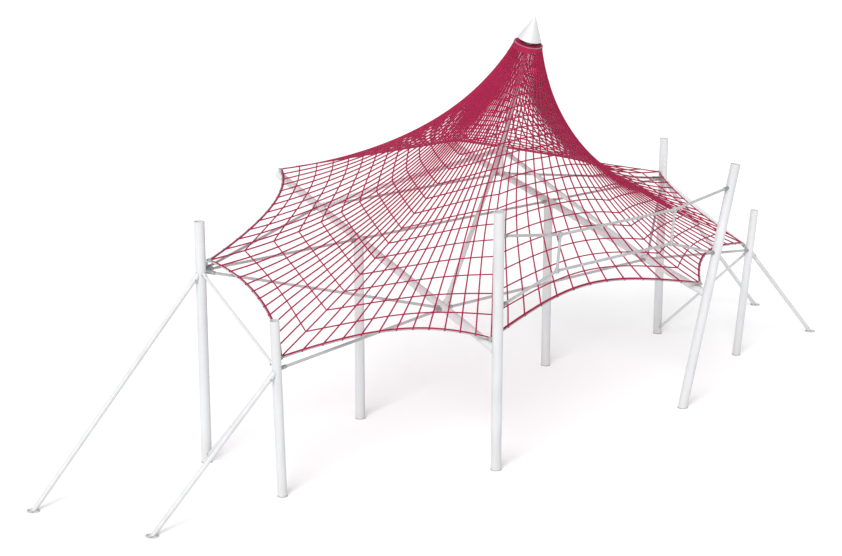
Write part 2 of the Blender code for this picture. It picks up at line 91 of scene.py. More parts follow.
floor_mesh = bpy.data.meshes.new("floor")
floor_corners = [(x * FLOOR_HALF, y * FLOOR_HALF, 0.0) for x, y in ((-1, -1), (1, -1), (1, 1), (-1, 1))]
floor_mesh.from_pydata(floor_corners, [], [(0, 1, 2, 3)])
floor_look = bpy.data.materials.new("floor")
floor_look.use_nodes = True
for key, value in (("Base Color", FLOOR_COLOUR), ("Roughness", FLOOR_ROUGHNESS), ("Specular IOR Level", 0.0),
                   ("Emission Color", FLOOR_COLOUR), ("Emission Strength", FLOOR_GLOW)):
    floor_look.node_tree.nodes["Principled BSDF"].inputs[key].default_value = value
floor_mesh.materials.append(floor_look)
floor = linked("floor", floor_mesh)


# Posts: two outer and two inner ones stand upright in a row, and four more lean at the front.
# They are round steel tubes painted light grey, with a dark bead of sealant at the ground.  A lid
# closes each open top, and the inner posts end under the roof tubes.
ROW_Y = 1.015
OUTER_POST_X = 7.225
OUTER_POST_TOP = 5.20
INNER_POST_X = 3.0
TIE_Z = 4.16
CORNER_POST_Y = -2.61
CORNER_POST_TOP = 3.736
CORNER_POST_LEAN = (0.239, -0.174)
FRONT_POST_Y = -4.40
FRONT_POST_TOP = 5.715
FRONT_POST_LEAN = (0.667, -0.692)
POST_R = 0.1095
CORNER_POST_R = 0.0968
TUBE_WALL = 0.010
LID_DEPTH = 0.09
BEAD = 0.004
CHAMFER = 0.003
SEAL_R = 0.009
SEAL_SIDES = 48
SIDES = {"left": -1.0, "right": 1.0}
PAINT_COLOUR = (0.62, 0.63, 0.64, 1.0)
PAINT_SHADE = (0.53, 0.54, 0.55, 1.0)
PAINT_DUST = (0.52, 0.50, 0.47, 1.0)
SEAL_COLOUR = (0.10, 0.10, 0.105, 1.0)
SEAL_DUST = (0.26, 0.25, 0.24, 1.0)

upright = Vector((0.0, 0.0, 1.0))


class Socket:
    """One output in a shader or geometry tree, on which sums and products add Math nodes."""

    def __init__(self, tree, output=None):
        self.tree = tree
        self.output = output

    def node(self, kind, sockets=None, settings=None, out=0):
        """Adds any node: its settings first, then the values or links of its sockets."""
        made = self.tree.nodes.new(kind)
        for key, value in (settings or {}).items():
            setattr(made, key, value)
        for key, value in (sockets or {}).items():
            if isinstance(value, Socket):
                self.tree.links.new(value.output, made.inputs[key])
            else:
                made.inputs[key].default_value = value
        return Socket(self.tree, made.outputs[out])

    def math(self, operation, first, second=0.0):
        return self.node("ShaderNodeMath", {0: first, 1: second}, {"operation": operation})

    def mix(self, factor, first, second):
        return self.node("ShaderNodeMix", {0: factor, 6: first, 7: second}, {"data_type": "RGBA"}, 2)

    def clamp(self):
        return self.node("ShaderNodeClamp", {"Value": self})

    def noise(self, scale, detail=3.0, squeeze=(1.0, 1.0, 1.0)):
        """Noise on this vector, which squeeze stretches along an axis."""
        spot = self.node("ShaderNodeVectorMath", {0: self, 1: squeeze}, {"operation": "MULTIPLY"})
        return self.node("ShaderNodeTexNoise", {"Vector": spot, "Scale": scale, "Detail": detail})

    def part(self, axis):
        """The x, y or z of this vector."""
        return self.node("ShaderNodeSeparateXYZ", {0: self}, out="XYZ".index(axis))

    def wave(self, operation, length):
        """The sine or cosine of this distance, with one wave in each length."""
        return self.math(operation, self * (math.tau / length))

    def read(self, name, out="Fac"):
        """In a shader: what was stored at the mesh's points by this name."""
        return self.node("ShaderNodeAttribute", settings={"attribute_name": name}, out=out)

    def then(self, kind, sockets=None, settings=None):
        """This geometry after one more geometry node."""
        return self.node("GeometryNode" + kind, {0: self, **(sockets or {})}, settings)

    def named(self, name, kind="FLOAT"):
        """In a geometry tree: what is stored at the points by this name."""
        return self.node("GeometryNodeInputNamedAttribute", {"Name": name}, {"data_type": kind})

    def stored(self, name, value, kind="FLOAT"):
        """This geometry with a value stored at its points."""
        settings = {"data_type": kind, "domain": "POINT"}
        return self.then("StoreNamedAttribute", {"Name": name, "Value": value}, settings)

    def __add__(self, other):
        return self.math("ADD", self, other)

    def __sub__(self, other):
        return self.math("SUBTRACT", self, other)

    def __rsub__(self, other):
        return self.math("SUBTRACT", other, self)

    def __mul__(self, other):
        return self.math("MULTIPLY", self, other)

    def __truediv__(self, other):
        return self.math("DIVIDE", self, other)

    __radd__ = __add__
    __rmul__ = __mul__


def finish_of(name, roughness, metallic=0.0, fixed=None):
    """A material, its shader's inputs, and a socket with the piece's own coordinates."""
    made = bpy.data.materials.new(name)
    made.use_nodes = True
    tree = made.node_tree
    inputs = tree.nodes["Principled BSDF"].inputs
    inputs["Roughness"].default_value = roughness
    inputs["Metallic"].default_value = metallic
    for key, value in (fixed or {}).items():
        inputs[key].default_value = value
    return made, inputs, Socket(tree).node("ShaderNodeTexCoord", out="Object")


def feed(inputs, **links):
    """Links sockets to a shader's inputs; base_color stands for Base Color."""
    for key, value in links.items():
        value.tree.links.new(value.output, inputs[key.replace("_", " ").title()])


def bump(height, depth):
    return height.node("ShaderNodeBump", {"Strength": 1.0, "Distance": depth, "Height": height})


def paint(name, colour, shade, roughness):
    """Satin paint with broad patches, faint rain streaks, dust near the ground and orange peel."""
    made, inputs, spot = finish_of(name, roughness, fixed={"Coat Weight": 0.15, "Coat Roughness": 0.25})
    streaks = spot.noise(9.0, 3.0, (1.0, 1.0, 0.06))
    worn = ((spot.noise(0.8, 4.0) + streaks) * 1.6 - 1.15).clamp()
    low = (1.0 - spot.part("Z") / 0.7).clamp() * spot.noise(6.0, 5.0)
    feed(inputs, base_color=spot.mix(low * 0.8, spot.mix(worn, colour, shade), PAINT_DUST),
         roughness=roughness - 0.06 + 0.14 * streaks, normal=bump(spot.noise(260.0, 2.0), 0.0006))
    return made


def spokes(axis, count, first=0.0):
    """Unit directions square to axis, evenly round it."""
    across = axis.orthogonal().normalized()
    other = axis.cross(across)
    turns = [math.tau * (k + first) / count for k in range(count)]
    return [across * math.cos(turn) + other * math.sin(turn) for turn in turns]


def bridge(shape, rings, closed=False):
    """Adds faces between rings of vertices, where a ring of one vertex is a pole."""
    sides = max(len(ring) for ring in rings)
    for low, high in zip(rings, rings[1:] + (rings[:1] if closed else [])):
        for k in range(sides):
            n = (k + 1) % sides
            if len(low) == 1:
                shape.faces.new((low[0], high[n], high[k]))
            elif len(high) == 1:
                shape.faces.new((low[k], low[n], high[0]))
            else:
                shape.faces.new((low[k], low[n], high[n], high[k]))


def turned(shape, start, towards, profile, sides=48, ground=False, closed=False):
    """Adds a turned form: a profile of (distance from start, radius) round an axis."""
    axis = towards.normalized()
    ways = spokes(axis, sides)
    rings = []
    for along, radius in profile:
        ring = [start + axis * along + way * radius for way in (ways if radius else ways[:1])]
        if ground and along == 0.0:
            ring = [point - axis * (point.z / axis.z) for point in ring]
        rings.append([shape.verts.new(point) for point in ring])
    bridge(shape, rings, closed)


def bar(length, radius):
    """The profile of a closed round bar."""
    return [(0.0, 0.0), (0.0, radius), (length, radius), (length, 0.0)]


def drum(length, radius):
    """The profile of a bar with both its ends chamfered."""
    return [(0.0, 0.0), (0.0, radius - CHAMFER), (CHAMFER, radius), (length - CHAMFER, radius),
            (length, radius - CHAMFER), (length, 0.0)]


def plain_rod(shape, start, end, radius):
    """A closed round bar from start to end."""
    turned(shape, start, end - start, bar((end - start).length, radius))


def lidded(shape, start, end, radius, ground=True):
    """A tube whose far end stays open down to a lid inside it."""
    length = (end - start).length
    bore = radius - TUBE_WALL
    turned(shape, start, end - start, [
        (0.0, 0.0), (0.0, radius), (length - CHAMFER, radius), (length, radius - CHAMFER),
        (length, bore + CHAMFER), (length - CHAMFER, bore),
        (length - LID_DEPTH, bore), (length - LID_DEPTH, 0.0),
    ], ground=ground)


def piece(name, shape, look, node=None, angle=35.0):
    """Makes shape a piece of the canopy, named after the CAD node that it stands for, if any."""
    if node:
        name = f"{node}_{name}"
    if isinstance(shape, bmesh.types.BMesh):
        mesh = bpy.data.meshes.new(name)
        shape.to_mesh(mesh)
        shape.free()
    else:
        mesh = shape
    mesh.shade_smooth()
    mesh.set_sharp_from_angle(angle=math.radians(angle))
    mesh.materials.clear()
    mesh.materials.append(look)
    made = linked(name, mesh)
    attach(made, "root")
    if node:
        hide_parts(node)
    return made


def place(x, y, z):
    """A point from its distance to the symmetry plane, to the row of posts and to the ground."""
    return Vector((x, ROW_Y + y, z))


def leaning(x, y, top, lean):
    """The function that gives a leaning post's point on a side at a height."""
    return lambda side, z: place(side * (x + lean[0] * z / top), y + lean[1] * z / top, z)


corner_at = leaning(OUTER_POST_X, CORNER_POST_Y, CORNER_POST_TOP, CORNER_POST_LEAN)
front_at = leaning(INNER_POST_X, FRONT_POST_Y, FRONT_POST_TOP, FRONT_POST_LEAN)


def way_up(point, side):
    """The direction of a tube, from the function that gives its points."""
    return point(side, 1.0) - point(side, 0.0)


def sealed(shape, foot, towards, radius):
    """The bead of sealant round a post's foot."""
    slant = towards.normalized()
    ring = []
    for k in range(SEAL_SIDES):
        turn = math.tau * k / SEAL_SIDES
        off = Vector((math.cos(turn), math.sin(turn), 0.0))
        ring.append((off * radius * math.sqrt(1.0 + (off.dot(slant) / slant.z) ** 2), off))
    profile = ((-SEAL_R, 0.0), (SEAL_R, 0.0), (0.7 * SEAL_R, 0.7 * SEAL_R), (0.0, SEAL_R), (-SEAL_R, SEAL_R))
    bridge(shape, [[shape.verts.new(foot + spot + off * out + upright * rise) for spot, off in ring]
                   for out, rise in profile], closed=True)


grey_paint = paint("grey_paint", PAINT_COLOUR, PAINT_SHADE, 0.42)
seals = bmesh.new()
for label, side in SIDES.items():
    outer_foot, inner_foot = (place(side * x, 0.0, 0.0) for x in (OUTER_POST_X, INNER_POST_X))
    for kind, foot, head, radius in (
        ("outer_post", outer_foot, outer_foot + upright * OUTER_POST_TOP, POST_R),
        ("corner_post", corner_at(side, 0.0), corner_at(side, CORNER_POST_TOP), CORNER_POST_R),
        ("front_post", front_at(side, 0.0), front_at(side, FRONT_POST_TOP), POST_R),
    ):
        post = bmesh.new()
        lidded(post, foot, head, radius)
        sealed(seals, foot, head - foot, radius)
        piece("tube", post, grey_paint, node=f"{kind}_{label}")
    inner_post = bmesh.new()
    plain_rod(inner_post, inner_foot, inner_foot + upright * TIE_Z, POST_R)
    sealed(seals, inner_foot, upright, POST_R)
    piece("tube", inner_post, grey_paint, node=f"inner_post_{label}")

sealant, inputs, spot = finish_of("sealant", 0.6, fixed={"Specular IOR Level": 0.3})
feed(inputs, base_color=spot.mix(spot.noise(20.0, 4.0), SEAL_COLOUR, SEAL_DUST),
     normal=bump(spot.noise(60.0, 4.0), 0.002))
piece("foot_seals", seals, sealant)


# Roof tubes: one runs over each inner post and down to the leaning front post, where it enters a
# welded socket.  It is the same painted steel, with a lid inside its high back end.
ROOF_RISE = 0.3073
ROOF_SPLAY = -0.0669
ROOF_BACK_Y = 3.146
ROOF_FRONT_Y = -4.729
ROOF_R = 0.0889
SOCKET_WALL = 0.012
POST_SOCKET_REACH = 0.16
MOUTH = 0.03
SLIP = 0.0008
ENTRY = 0.8 * MOUTH
SINK = 0.001
WELD_SIDES = 36

beads = []


def roof_at(side, y):
    return place(side * (INNER_POST_X + ROOF_SPLAY * y), y, TIE_Z + ROOF_RISE * y)


def junction(centre, towards, radius, axis, owner_r):
    """The closed line where a tube from centre comes out of a wider tube round axis."""
    out = towards.normalized()
    axis = axis.normalized()
    slope = out.dot(axis)
    spread = 1.0 - slope * slope
    line = []
    for way in spokes(out, WELD_SIDES):
        off = way * radius
        lean = -off.dot(axis) * slope
        rest = radius * radius - off.dot(axis) ** 2 - owner_r * owner_r
        line.append(centre + off + out * ((-lean + math.sqrt(lean * lean - spread * rest)) / spread))
    return line


def socketed(sockets, here, there, radius, reach, owner, depth=0.4, sides=40):
    """A socket for a rod and its weld.  Its owner is an axis and a radius, and depth a share of it."""
    axis, owner_r = owner
    outer = radius + SOCKET_WALL
    hole = radius + SLIP
    turned(sockets, here, there - here, [
        (depth * owner_r, 0.0), (depth * owner_r, outer), (reach - CHAMFER, outer), (reach, outer - CHAMFER),
        (reach, hole), (reach - MOUTH, hole), (reach - MOUTH, 0.0),
    ], sides)
    towards = (there - here).normalized()
    beads.append(junction(here, towards, outer, axis, owner_r))
    return towards


roof_sockets = bmesh.new()
for label, side in SIDES.items():
    front_joint, back_end = (roof_at(side, y) for y in (ROOF_FRONT_Y, ROOF_BACK_Y))
    up_slope = socketed(roof_sockets, front_joint, back_end, ROOF_R, POST_SOCKET_REACH,
                        (way_up(front_at, side), POST_R), depth=0.0)
    tube = bmesh.new()
    lidded(tube, front_joint + up_slope * (POST_SOCKET_REACH - ENTRY), back_end, ROOF_R, ground=False)
    piece("steel", tube, grey_paint, node=f"roof_tube_{label}")
    beads.append(junction(roof_at(side, 0.0), -upright, ROOF_R - SINK, up_slope, ROOF_R))
piece("roof_sockets", roof_sockets, grey_paint)


# Mast: a short tube stands over the middle of the roof on four legs that spread from its hub to
# the roof tubes.  It leans forward, and its collar carries the peak ring.
BACK_NODE_Y = 1.528
FRONT_NODE_Y = -3.004
MAST_LEAN = math.radians(18.0)
MAST_FOOT = 2.17
MAST_R = 0.0572
HUB_R = 0.10
HUB_HALF = 0.09
COLLAR_R = 0.085
COLLAR_T = 0.03
COLLAR_CLEAR = 0.0003
PEAK = 4.71
PEAK_PLATE_LIFT = 0.0045
CAP_BASE = 4.83
CAP_HUB_LOW = 0.10
STRUT_R = 0.0508
LONG_REACH = 0.30
REACH = 0.22
MAST_AXIS = Vector((0.0, -math.sin(MAST_LEAN), math.cos(MAST_LEAN)))
PIN_BACK = 0.055
PIN_SIZE = 0.016

pins = []
strut_sockets = bmesh.new()


def mast_at(distance):
    """A point on the mast's axis, measured up from the plane of the roof tubes."""
    middle_y = (BACK_NODE_Y + FRONT_NODE_Y) / 2.0
    return place(0.0, middle_y, TIE_Z + ROOF_RISE * middle_y) + MAST_AXIS * distance


def roof_end(side, y):
    """Where a member meets a roof tube: the point, and the tube's axis and radius."""
    return roof_at(side, y), way_up(roof_at, side), ROOF_R


def pinned(middle, cross, reach, size=PIN_SIZE):
    """A bolt through middle, with a head at each end."""
    for way in (-1.0, 1.0):
        pins.append((middle + cross * way * reach, cross * way, size))


def joined(name, ends, radius, reaches, sockets, look):
    """A member between two sockets, each with its weld and a bolt through it."""
    (start, *start_owner), (end, *end_owner) = ends
    along = (end - start).normalized()
    cross = along.cross(upright).normalized()
    for here, there, owner, reach in ((start, end, start_owner, reaches[0]),
                                      (end, start, end_owner, reaches[1])):
        towards = socketed(sockets, here, there, radius, reach, owner)
        pinned(here + towards * (reach - PIN_BACK), cross, radius + SOCKET_WALL - SINK)
    length = (end - start).length - sum(reaches) + 2.0 * ENTRY
    shape = bmesh.new()
    turned(shape, start + along * (reaches[0] - ENTRY), along, bar(length, radius))
    piece("tube", shape, look, name)


mast = bmesh.new()
hub = MAST_FOOT
collar_top = PEAK + PEAK_PLATE_LIFT - COLLAR_CLEAR
mast_top = CAP_BASE + CAP_HUB_LOW
turned(mast, mast_at(0.0), MAST_AXIS, [
    (hub - HUB_HALF, 0.0), (hub - HUB_HALF, HUB_R - CHAMFER), (hub - HUB_HALF + CHAMFER, HUB_R),
    (hub + HUB_HALF - CHAMFER, HUB_R), (hub + HUB_HALF, HUB_R - CHAMFER), (hub + HUB_HALF, MAST_R + BEAD),
    (hub + HUB_HALF + BEAD, MAST_R), (collar_top - COLLAR_T - BEAD, MAST_R),
    (collar_top - COLLAR_T, MAST_R + BEAD), (collar_top - COLLAR_T, COLLAR_R - CHAMFER),
    (collar_top - COLLAR_T + CHAMFER, COLLAR_R), (collar_top, COLLAR_R), (collar_top, MAST_R),
    (mast_top, MAST_R), (mast_top, 0.0),
])
piece("steel", mast, grey_paint, node="mast")
hub_end = (mast_at(MAST_FOOT), MAST_AXIS, HUB_R)
for label, side in SIDES.items():
    for where, y in (("back", BACK_NODE_Y), ("front", FRONT_NODE_Y)):
        joined(f"mast_leg_{where}_{label}", (hub_end, roof_end(side, y)), STRUT_R, (LONG_REACH, REACH),
               strut_sockets, grey_paint)


# Peak ring: a flat galvanised ring on four spokes, square to the mast.  A crimson cuff is turned
# over its rim and held down by a narrow bolted hoop.
PEAK_RADIUS = 0.303
PEAK_PLATE_T = 0.016
PEAK_RIM_OUT = 0.017
PEAK_RIM_IN = 0.040
SPOKE_HALF = 0.022
SPOKE_BITE = 0.006
CUFF_T = 0.004
CUFF_DROP = 0.035
CUFF_IN = 0.092
HOOP = (0.302, 0.318)
HOOP_T = 0.004
HOOP_BOLTS = 24
HOOP_BOLT_SIZE = 0.005
HOOP_BOLT_SINK = 0.0005
HOOP_CHAMFER = 0.001
WIDE_SIDES = 96
STEEL_COLOUR = (0.52, 0.525, 0.53, 1.0)
STEEL_SHADE = (0.38, 0.385, 0.39, 1.0)


def ring_way(turn):
    """A direction from the mast, in the plane of the peak ring."""
    return MAST_AXIS.to_track_quat("Z", "Y") @ Vector((math.cos(turn), math.sin(turn), 0.0))


def block(shape, near, far):
    """A closed form between two outlines of vertices."""
    shape.faces.new(near[::-1])
    shape.faces.new(far)
    bridge(shape, [near, far])


galvanised, inputs, spot = finish_of("galvanised", 0.4, metallic=0.4)
spangle = spot.node("ShaderNodeTexVoronoi", {"Vector": spot, "Scale": 55.0}, out=0)
feed(inputs, base_color=spot.mix((spangle * 1.2).clamp(), STEEL_COLOUR, STEEL_SHADE),
     roughness=0.32 + 0.2 * spangle)

steel_ring = bmesh.new()
plate_low = mast_at(PEAK + PEAK_PLATE_LIFT)
rim_out, rim_in = PEAK_RADIUS + PEAK_RIM_OUT, PEAK_RADIUS - PEAK_RIM_IN
turned(steel_ring, plate_low, MAST_AXIS, [
    (CHAMFER, rim_out), (PEAK_PLATE_T - CHAMFER, rim_out), (PEAK_PLATE_T, rim_out - CHAMFER),
    (PEAK_PLATE_T, rim_in + CHAMFER), (PEAK_PLATE_T - CHAMFER, rim_in), (CHAMFER, rim_in),
    (0.0, rim_in + CHAMFER), (0.0, rim_out - CHAMFER),
], WIDE_SIDES, closed=True)
turned(steel_ring, plate_low, MAST_AXIS, [
    (0.0, COLLAR_R), (PEAK_PLATE_T - CHAMFER, COLLAR_R), (PEAK_PLATE_T, COLLAR_R - CHAMFER),
    (PEAK_PLATE_T, MAST_R + SLIP), (0.0, MAST_R + SLIP),
], closed=True)
outline = [(0.0, SPOKE_HALF), (PEAK_PLATE_T - CHAMFER, SPOKE_HALF), (PEAK_PLATE_T, SPOKE_HALF - CHAMFER)]
outline += [(rise, -half) for rise, half in outline[::-1]]
for quarter in range(4):
    out = ring_way(math.pi / 2.0 * quarter)
    wide = MAST_AXIS.cross(out)
    block(steel_ring, *([steel_ring.verts.new(plate_low + out * reach + MAST_AXIS * rise + wide * half)
                         for rise, half in outline]
                        for reach in (COLLAR_R - SPOKE_BITE, rim_in + SPOKE_BITE)))
cuff_seat = PEAK_PLATE_T + SLIP
hoop_low, hoop_top = cuff_seat + CUFF_T, cuff_seat + CUFF_T + HOOP_T
turned(steel_ring, plate_low, MAST_AXIS, [
    (hoop_low, HOOP[1]), (hoop_top, HOOP[1] - HOOP_CHAMFER),
    (hoop_top, HOOP[0] + HOOP_CHAMFER), (hoop_low, HOOP[0]),
], WIDE_SIDES, closed=True)
piece("steel", steel_ring, galvanised, "peak_ring")
for k in range(HOOP_BOLTS):
    out = ring_way(math.tau * (k + 0.5) / HOOP_BOLTS)
    seat = plate_low + MAST_AXIS * (hoop_top - HOOP_BOLT_SINK) + out * (HOOP[0] + HOOP[1]) / 2.0
    pins.append((seat, MAST_AXIS, HOOP_BOLT_SIZE))


# Cap: a spun cone of sheet metal over the peak, open underneath, with a rolled edge, a lapped seam
# and a hub that sits on the mast's head.
CAP_RADIUS = 0.262
CAP_HEIGHT = 0.55
CAP_WALL = 0.010
CAP_HUB_R = 0.070
CAP_ROLL = 0.006
CAP_TIP = 0.006
CAP_TIP_ROUND = 0.002
SEAM_HALF = 0.012
SEAM_T = 0.003
SEAM_WAY = (-0.6, 0.8, 0.0)
CAP_SHOULDER = 0.968
CAP_COLOUR = (0.70, 0.705, 0.71, 1.0)
CAP_SHADE = (0.58, 0.585, 0.59, 1.0)

cap_metal, inputs, spot = finish_of("cap_metal", 0.42, metallic=0.25)
spun = spot.noise(3.0, 4.0, (1.0, 1.0, 22.0))
feed(inputs, base_color=spot.mix((spun * 1.4 - 0.3).clamp(), CAP_COLOUR, CAP_SHADE),
     roughness=0.36 + 0.2 * spun, normal=bump(spun, 0.0008))
cap = bmesh.new()
inner_r = CAP_RADIUS - CAP_WALL
hub_high = CAP_HEIGHT * inner_r / CAP_RADIUS * (1.0 - CAP_HUB_R / inner_r)
tip_along = CAP_HEIGHT * (1.0 - CAP_TIP / CAP_RADIUS)
turned(cap, mast_at(CAP_BASE), MAST_AXIS, [
    (CAP_HUB_LOW, 0.0), (CAP_HUB_LOW, CAP_HUB_R), (hub_high, CAP_HUB_R), (CAP_ROLL, inner_r),
    (0.0, inner_r + 0.3 * CAP_ROLL), (0.0, CAP_RADIUS - CAP_ROLL),
    (0.3 * CAP_ROLL, CAP_RADIUS - 0.2 * CAP_ROLL), (CAP_ROLL, CAP_RADIUS + 0.2 * CAP_ROLL),
    (2.0 * CAP_ROLL, CAP_RADIUS), (2.6 * CAP_ROLL, CAP_RADIUS * CAP_SHOULDER),
    (tip_along, CAP_TIP), (CAP_HEIGHT - CAP_TIP_ROUND, 0.5 * CAP_TIP), (CAP_HEIGHT, 0.0),
], WIDE_SIDES)
slant = MAST_AXIS.to_track_quat("Z", "Y") @ Vector(SEAM_WAY)
seam_wide = MAST_AXIS.cross(slant)
square = (slant * CAP_HEIGHT + MAST_AXIS * CAP_RADIUS).normalized()
lap = []
for along, half in ((0.88 * CAP_HEIGHT, 0.35 * SEAM_HALF), (3.0 * CAP_ROLL, SEAM_HALF)):
    middle = mast_at(CAP_BASE + along) + slant * (CAP_RADIUS * (1.0 - along / CAP_HEIGHT))
    lap.append([cap.verts.new(middle + seam_wide * half * way + square * lift)
                for way, lift in ((-1.0, -SEAM_T), (1.0, -SEAM_T), (0.9, SEAM_T), (-0.9, SEAM_T))])
block(cap, *lap)
piece("sheet", cap, cap_metal, "mast_cap")


# Ties and struts: round bars that hold the posts and roof tubes together.  Each ends in welded
# sockets with a bolt through them.  The thin ties are painted grey, and their sockets darker.
CORNER_NODE_Z = 2.716
SIDE_R = 0.033
DIAGONAL_FOOT_Z = 0.10
TIE_R = 0.030
TIE_COLOUR = (0.42, 0.425, 0.435, 1.0)
TIE_SHADE = (0.34, 0.345, 0.355, 1.0)
SOCKET_COLOUR = (0.25, 0.255, 0.26, 1.0)
SOCKET_SHADE = (0.19, 0.195, 0.20, 1.0)

tie_paint = paint("tie_paint", TIE_COLOUR, TIE_SHADE, 0.36)
socket_paint = paint("socket_paint", SOCKET_COLOUR, SOCKET_SHADE, 0.40)
tie_sockets = bmesh.new()
for label, side in SIDES.items():
    outer, base = ((place(side * OUTER_POST_X, 0.0, z), upright, POST_R) for z in (TIE_Z, DIAGONAL_FOOT_Z))
    low = (corner_at(side, CORNER_NODE_Z), way_up(corner_at, side), CORNER_POST_R)
    crossing, back_node, front_node = (roof_end(side, y) for y in (0.0, BACK_NODE_Y, FRONT_NODE_Y))
    for name, ends, reach in (
        ("middle_tie", (outer, crossing), LONG_REACH), ("back_brace", (outer, back_node), LONG_REACH),
        ("front_brace", (outer, front_node), LONG_REACH), ("front_tie", (low, front_node), REACH),
    ):
        joined(f"{name}_{label}", ends, TIE_R, (reach, REACH), tie_sockets, tie_paint)
    for name, start in (("side_strut", outer), ("side_diagonal", base)):
        joined(f"{name}_{label}", (start, low), SIDE_R, (REACH, REACH), strut_sockets, grey_paint)
for name, y in (("middle_tie", 0.0), ("back_tie", BACK_NODE_Y), ("front_tie", FRONT_NODE_Y)):
    ends = [roof_end(side, y) for side in SIDES.values()]
    joined(name, ends, TIE_R, (REACH, REACH), tie_sockets, tie_paint)


# Truss: two bent rods tie the leaning front posts together, one over the other.  Two short struts
# hold the rods apart, between round clamps that are bolted on at the bends.
TRUSS_TOP_Z = 5.203
TRUSS_LOW_Z = 3.668
TRUSS_X = 1.79
TRUSS_STRUT_TOP = (-4.964, 4.937)
TRUSS_STRUT_LOW = (-4.892, 4.164)
CLAMP_HALF = 0.05
CLAMP_R = TIE_R + 0.018

for name, height, bend, other in (
    ("truss_cable_top", TRUSS_TOP_Z, TRUSS_STRUT_TOP, TRUSS_STRUT_LOW),
    ("truss_cable_low", TRUSS_LOW_Z, TRUSS_STRUT_LOW, TRUSS_STRUT_TOP),
):
    bars = bmesh.new()
    knees = []
    for side in SIDES.values():
        on_post = front_at(side, height)
        knee = place(side * TRUSS_X, *bend)
        inwards = socketed(tie_sockets, on_post, knee, TIE_R, REACH, (way_up(front_at, side), POST_R))
        plain_rod(bars, on_post + inwards * (REACH - ENTRY), knee, TIE_R)
        away = (knee - place(side * TRUSS_X, *other)).normalized()
        turned(bars, knee - away * CLAMP_HALF, away, drum(2.0 * CLAMP_HALF, CLAMP_R))
        front = Vector((0.0, -1.0, 0.0))
        pinned(knee, (front - away * front.dot(away)).normalized(), CLAMP_R - SINK)
        knees.append(knee)
    plain_rod(bars, *knees, TIE_R)
    piece("rod", bars, tie_paint, name)
for label, side in SIDES.items():
    strut = bmesh.new()
    top, low = (place(side * TRUSS_X, *spot) for spot in (TRUSS_STRUT_TOP, TRUSS_STRUT_LOW))
    plain_rod(strut, top, low, TIE_R)
    down = (low - top).normalized()
    for end, way in ((top, down), (low, -down)):
        turned(strut, end + way * CLAMP_HALF, way, [
            (0.0, 0.0), (0.0, TIE_R + BEAD), (2.0 * BEAD, TIE_R + BEAD), (3.0 * BEAD, TIE_R),
            (3.0 * BEAD, 0.0),
        ])
    piece("tube", strut, tie_paint, node=f"truss_strut_{label}")
piece("tie_sockets", tie_sockets, socket_paint)


# Guys: four painted tubes run from the outer and corner posts to the ground.  Each is welded to a
# round foot plate that is bolted down.
SIDE_GUY_X = 11.365
CORNER_GUY_X = 10.33
CORNER_GUY_Y = -2.615
FOOT_R = 0.13
FOOT_T = 0.020
ANCHOR_R = 0.098
ANCHOR_SIZE = 0.018
ANCHOR_SPREAD = (1.12, 0.95)

for label, side in SIDES.items():
    for name, top, owner, ground in (
        ("side_guy", place(side * OUTER_POST_X, 0.0, TIE_Z), (upright, POST_R),
         place(side * SIDE_GUY_X, 0.0, 0.0)),
        ("corner_guy", corner_at(side, CORNER_NODE_Z), (way_up(corner_at, side), CORNER_POST_R),
         place(side * CORNER_GUY_X, CORNER_GUY_Y, 0.0)),
    ):
        down = socketed(strut_sockets, top, ground, STRUT_R, LONG_REACH, owner)
        cross = down.cross(upright).normalized()
        pinned(top + down * (LONG_REACH - PIN_BACK), cross, STRUT_R + SOCKET_WALL - SINK)
        guy = bmesh.new()
        length = (ground - top).length - LONG_REACH + ENTRY
        turned(guy, ground, -down, bar(length, STRUT_R), ground=True)
        turned(guy, ground, upright, [
            (0.0, 0.0), (0.0, FOOT_R), (FOOT_T - CHAMFER, FOOT_R), (FOOT_T, FOOT_R - CHAMFER), (FOOT_T, 0.0),
        ])
        piece("steel", guy, grey_paint, node=f"{name}_{label}")
        foot_line = (ground + way * STRUT_R for way in spokes(down, WELD_SIDES))
        beads.append([spot - down * ((spot.z - FOOT_T) / down.z) for spot in foot_line])
        for k in range(4):
            turn = math.pi * (0.25 + 0.5 * k)
            off = cross * math.cos(turn) * ANCHOR_SPREAD[0]
            off += cross.cross(upright) * math.sin(turn) * ANCHOR_SPREAD[1]
            pins.append((ground + upright * FOOT_T + off * ANCHOR_R, upright, ANCHOR_SIZE))
piece("strut_sockets", strut_sockets, grey_paint)


# Membrane: a sheer crimson mesh, cut in panels between radial seams and stretched from the peak ring
# to eight corners.  Its shape is the balance of a net with a force density on every line, which
# swings with the turn round the peak and swells in the middle of each sector.
SEGMENTS = 12
RINGS = 20
AROUND = 8 * SEGMENTS
BACK_LINK = (0.060, 0.160)
FRONT_LINK = (-0.262, 0.155)
SIDE_LINK = (-0.188, -0.035, 0.195)
LOW_LINK = (-0.162, 0.093, 0.189)
EDGE_DENSITY = {"back": 365.0, "back_side": 20.2, "side": 16.2, "front_side": 33.9, "front": 70.4}
RADIAL_DENSITY = (1.0, 1.74, 2.18)
CORNER_DENSITY = {"back": (93.4, 12.5, 0.91), "side": (22.4, 2.77, 0.05),
                  "low": (40.3, 11.6, 0.19), "front": (26.7, 1.12, 0.058)}
RING_DENSITY = (16.2, 12.0, 40.8)
RADIAL_SWING = (1.88, 0.103)
RING_SWING = (0.084, -0.556)
RADIAL_SWELL = {"back": (0.0, 0.0), "back_side": (0.49, 1.09), "side": (-0.521, 0.348),
                "front_side": (0.781, 0.413), "front": (2.24, 0.224)}
RING_SWELL = {"back": (0.0, 0.0), "back_side": (-0.169, -0.345), "side": (0.127, 0.232),
              "front_side": (0.012, 0.29), "front": (0.141, -0.466)}
EDGE_NAMES = ["back_side_left", "side_left", "front_side_left", "front",
              "front_side_right", "side_right", "back_side_right", "back"]
